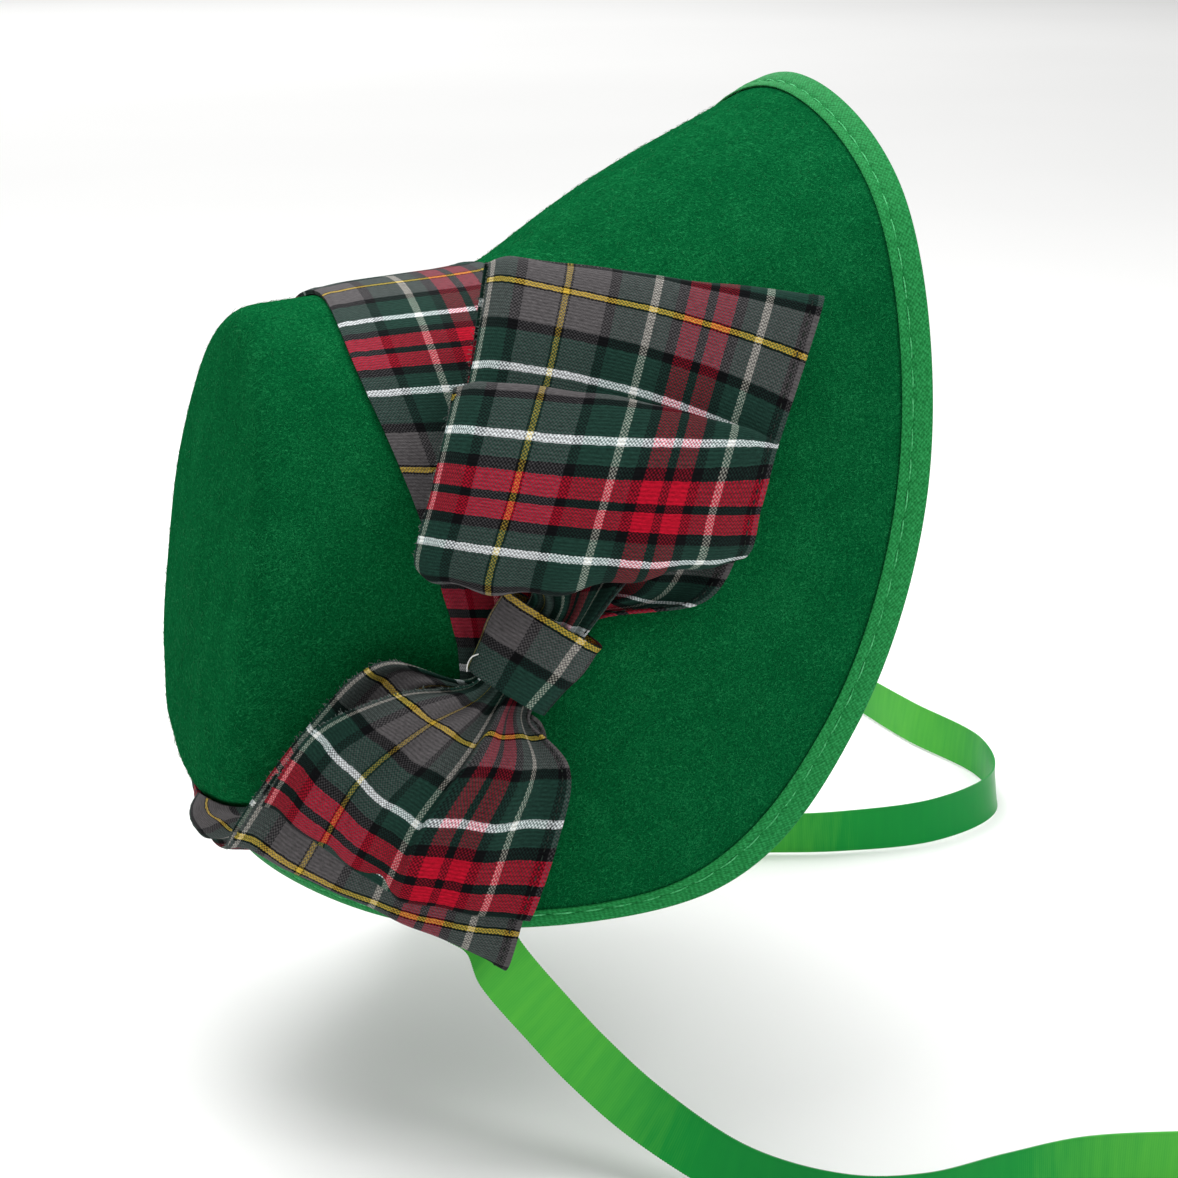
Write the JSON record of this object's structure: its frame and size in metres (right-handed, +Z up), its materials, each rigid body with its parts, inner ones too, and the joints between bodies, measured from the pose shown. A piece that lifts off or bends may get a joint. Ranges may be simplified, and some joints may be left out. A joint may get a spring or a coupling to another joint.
{
  "type": "bonnet",
  "caption": "Moulded felt poke bonnet with a flaring bound brim, a tartan band and bow on the wearer's right side, and satin ribbon ties.",
  "frame": {"origin": "head seat on the inner face of the crown's top, where the head holds the bonnet", "axes": "+X the way the wearer faces, +Y the wearer's left, +Z up"},
  "size_m": [0.4126, 0.4741, 0.3579],
  "materials": {
    "felt": "dense pressed wool felt with a short nap",
    "binding": "cotton twill bias tape",
    "tartan": "woven check of grey, black, green, red, white and yellow",
    "ribbon": "polyester satin ribbon with a picot edge"
  },
  "bodies": {
    "root": {"felt_shell": "felt", "brim_binding": "binding", "hat_band": "tartan", "bow_knot": "tartan", "bow_upper_loop": "tartan", "bow_lower_loop": "tartan", "tie_right": "ribbon", "tie_left": "ribbon"}
  },
  "joints": []
}
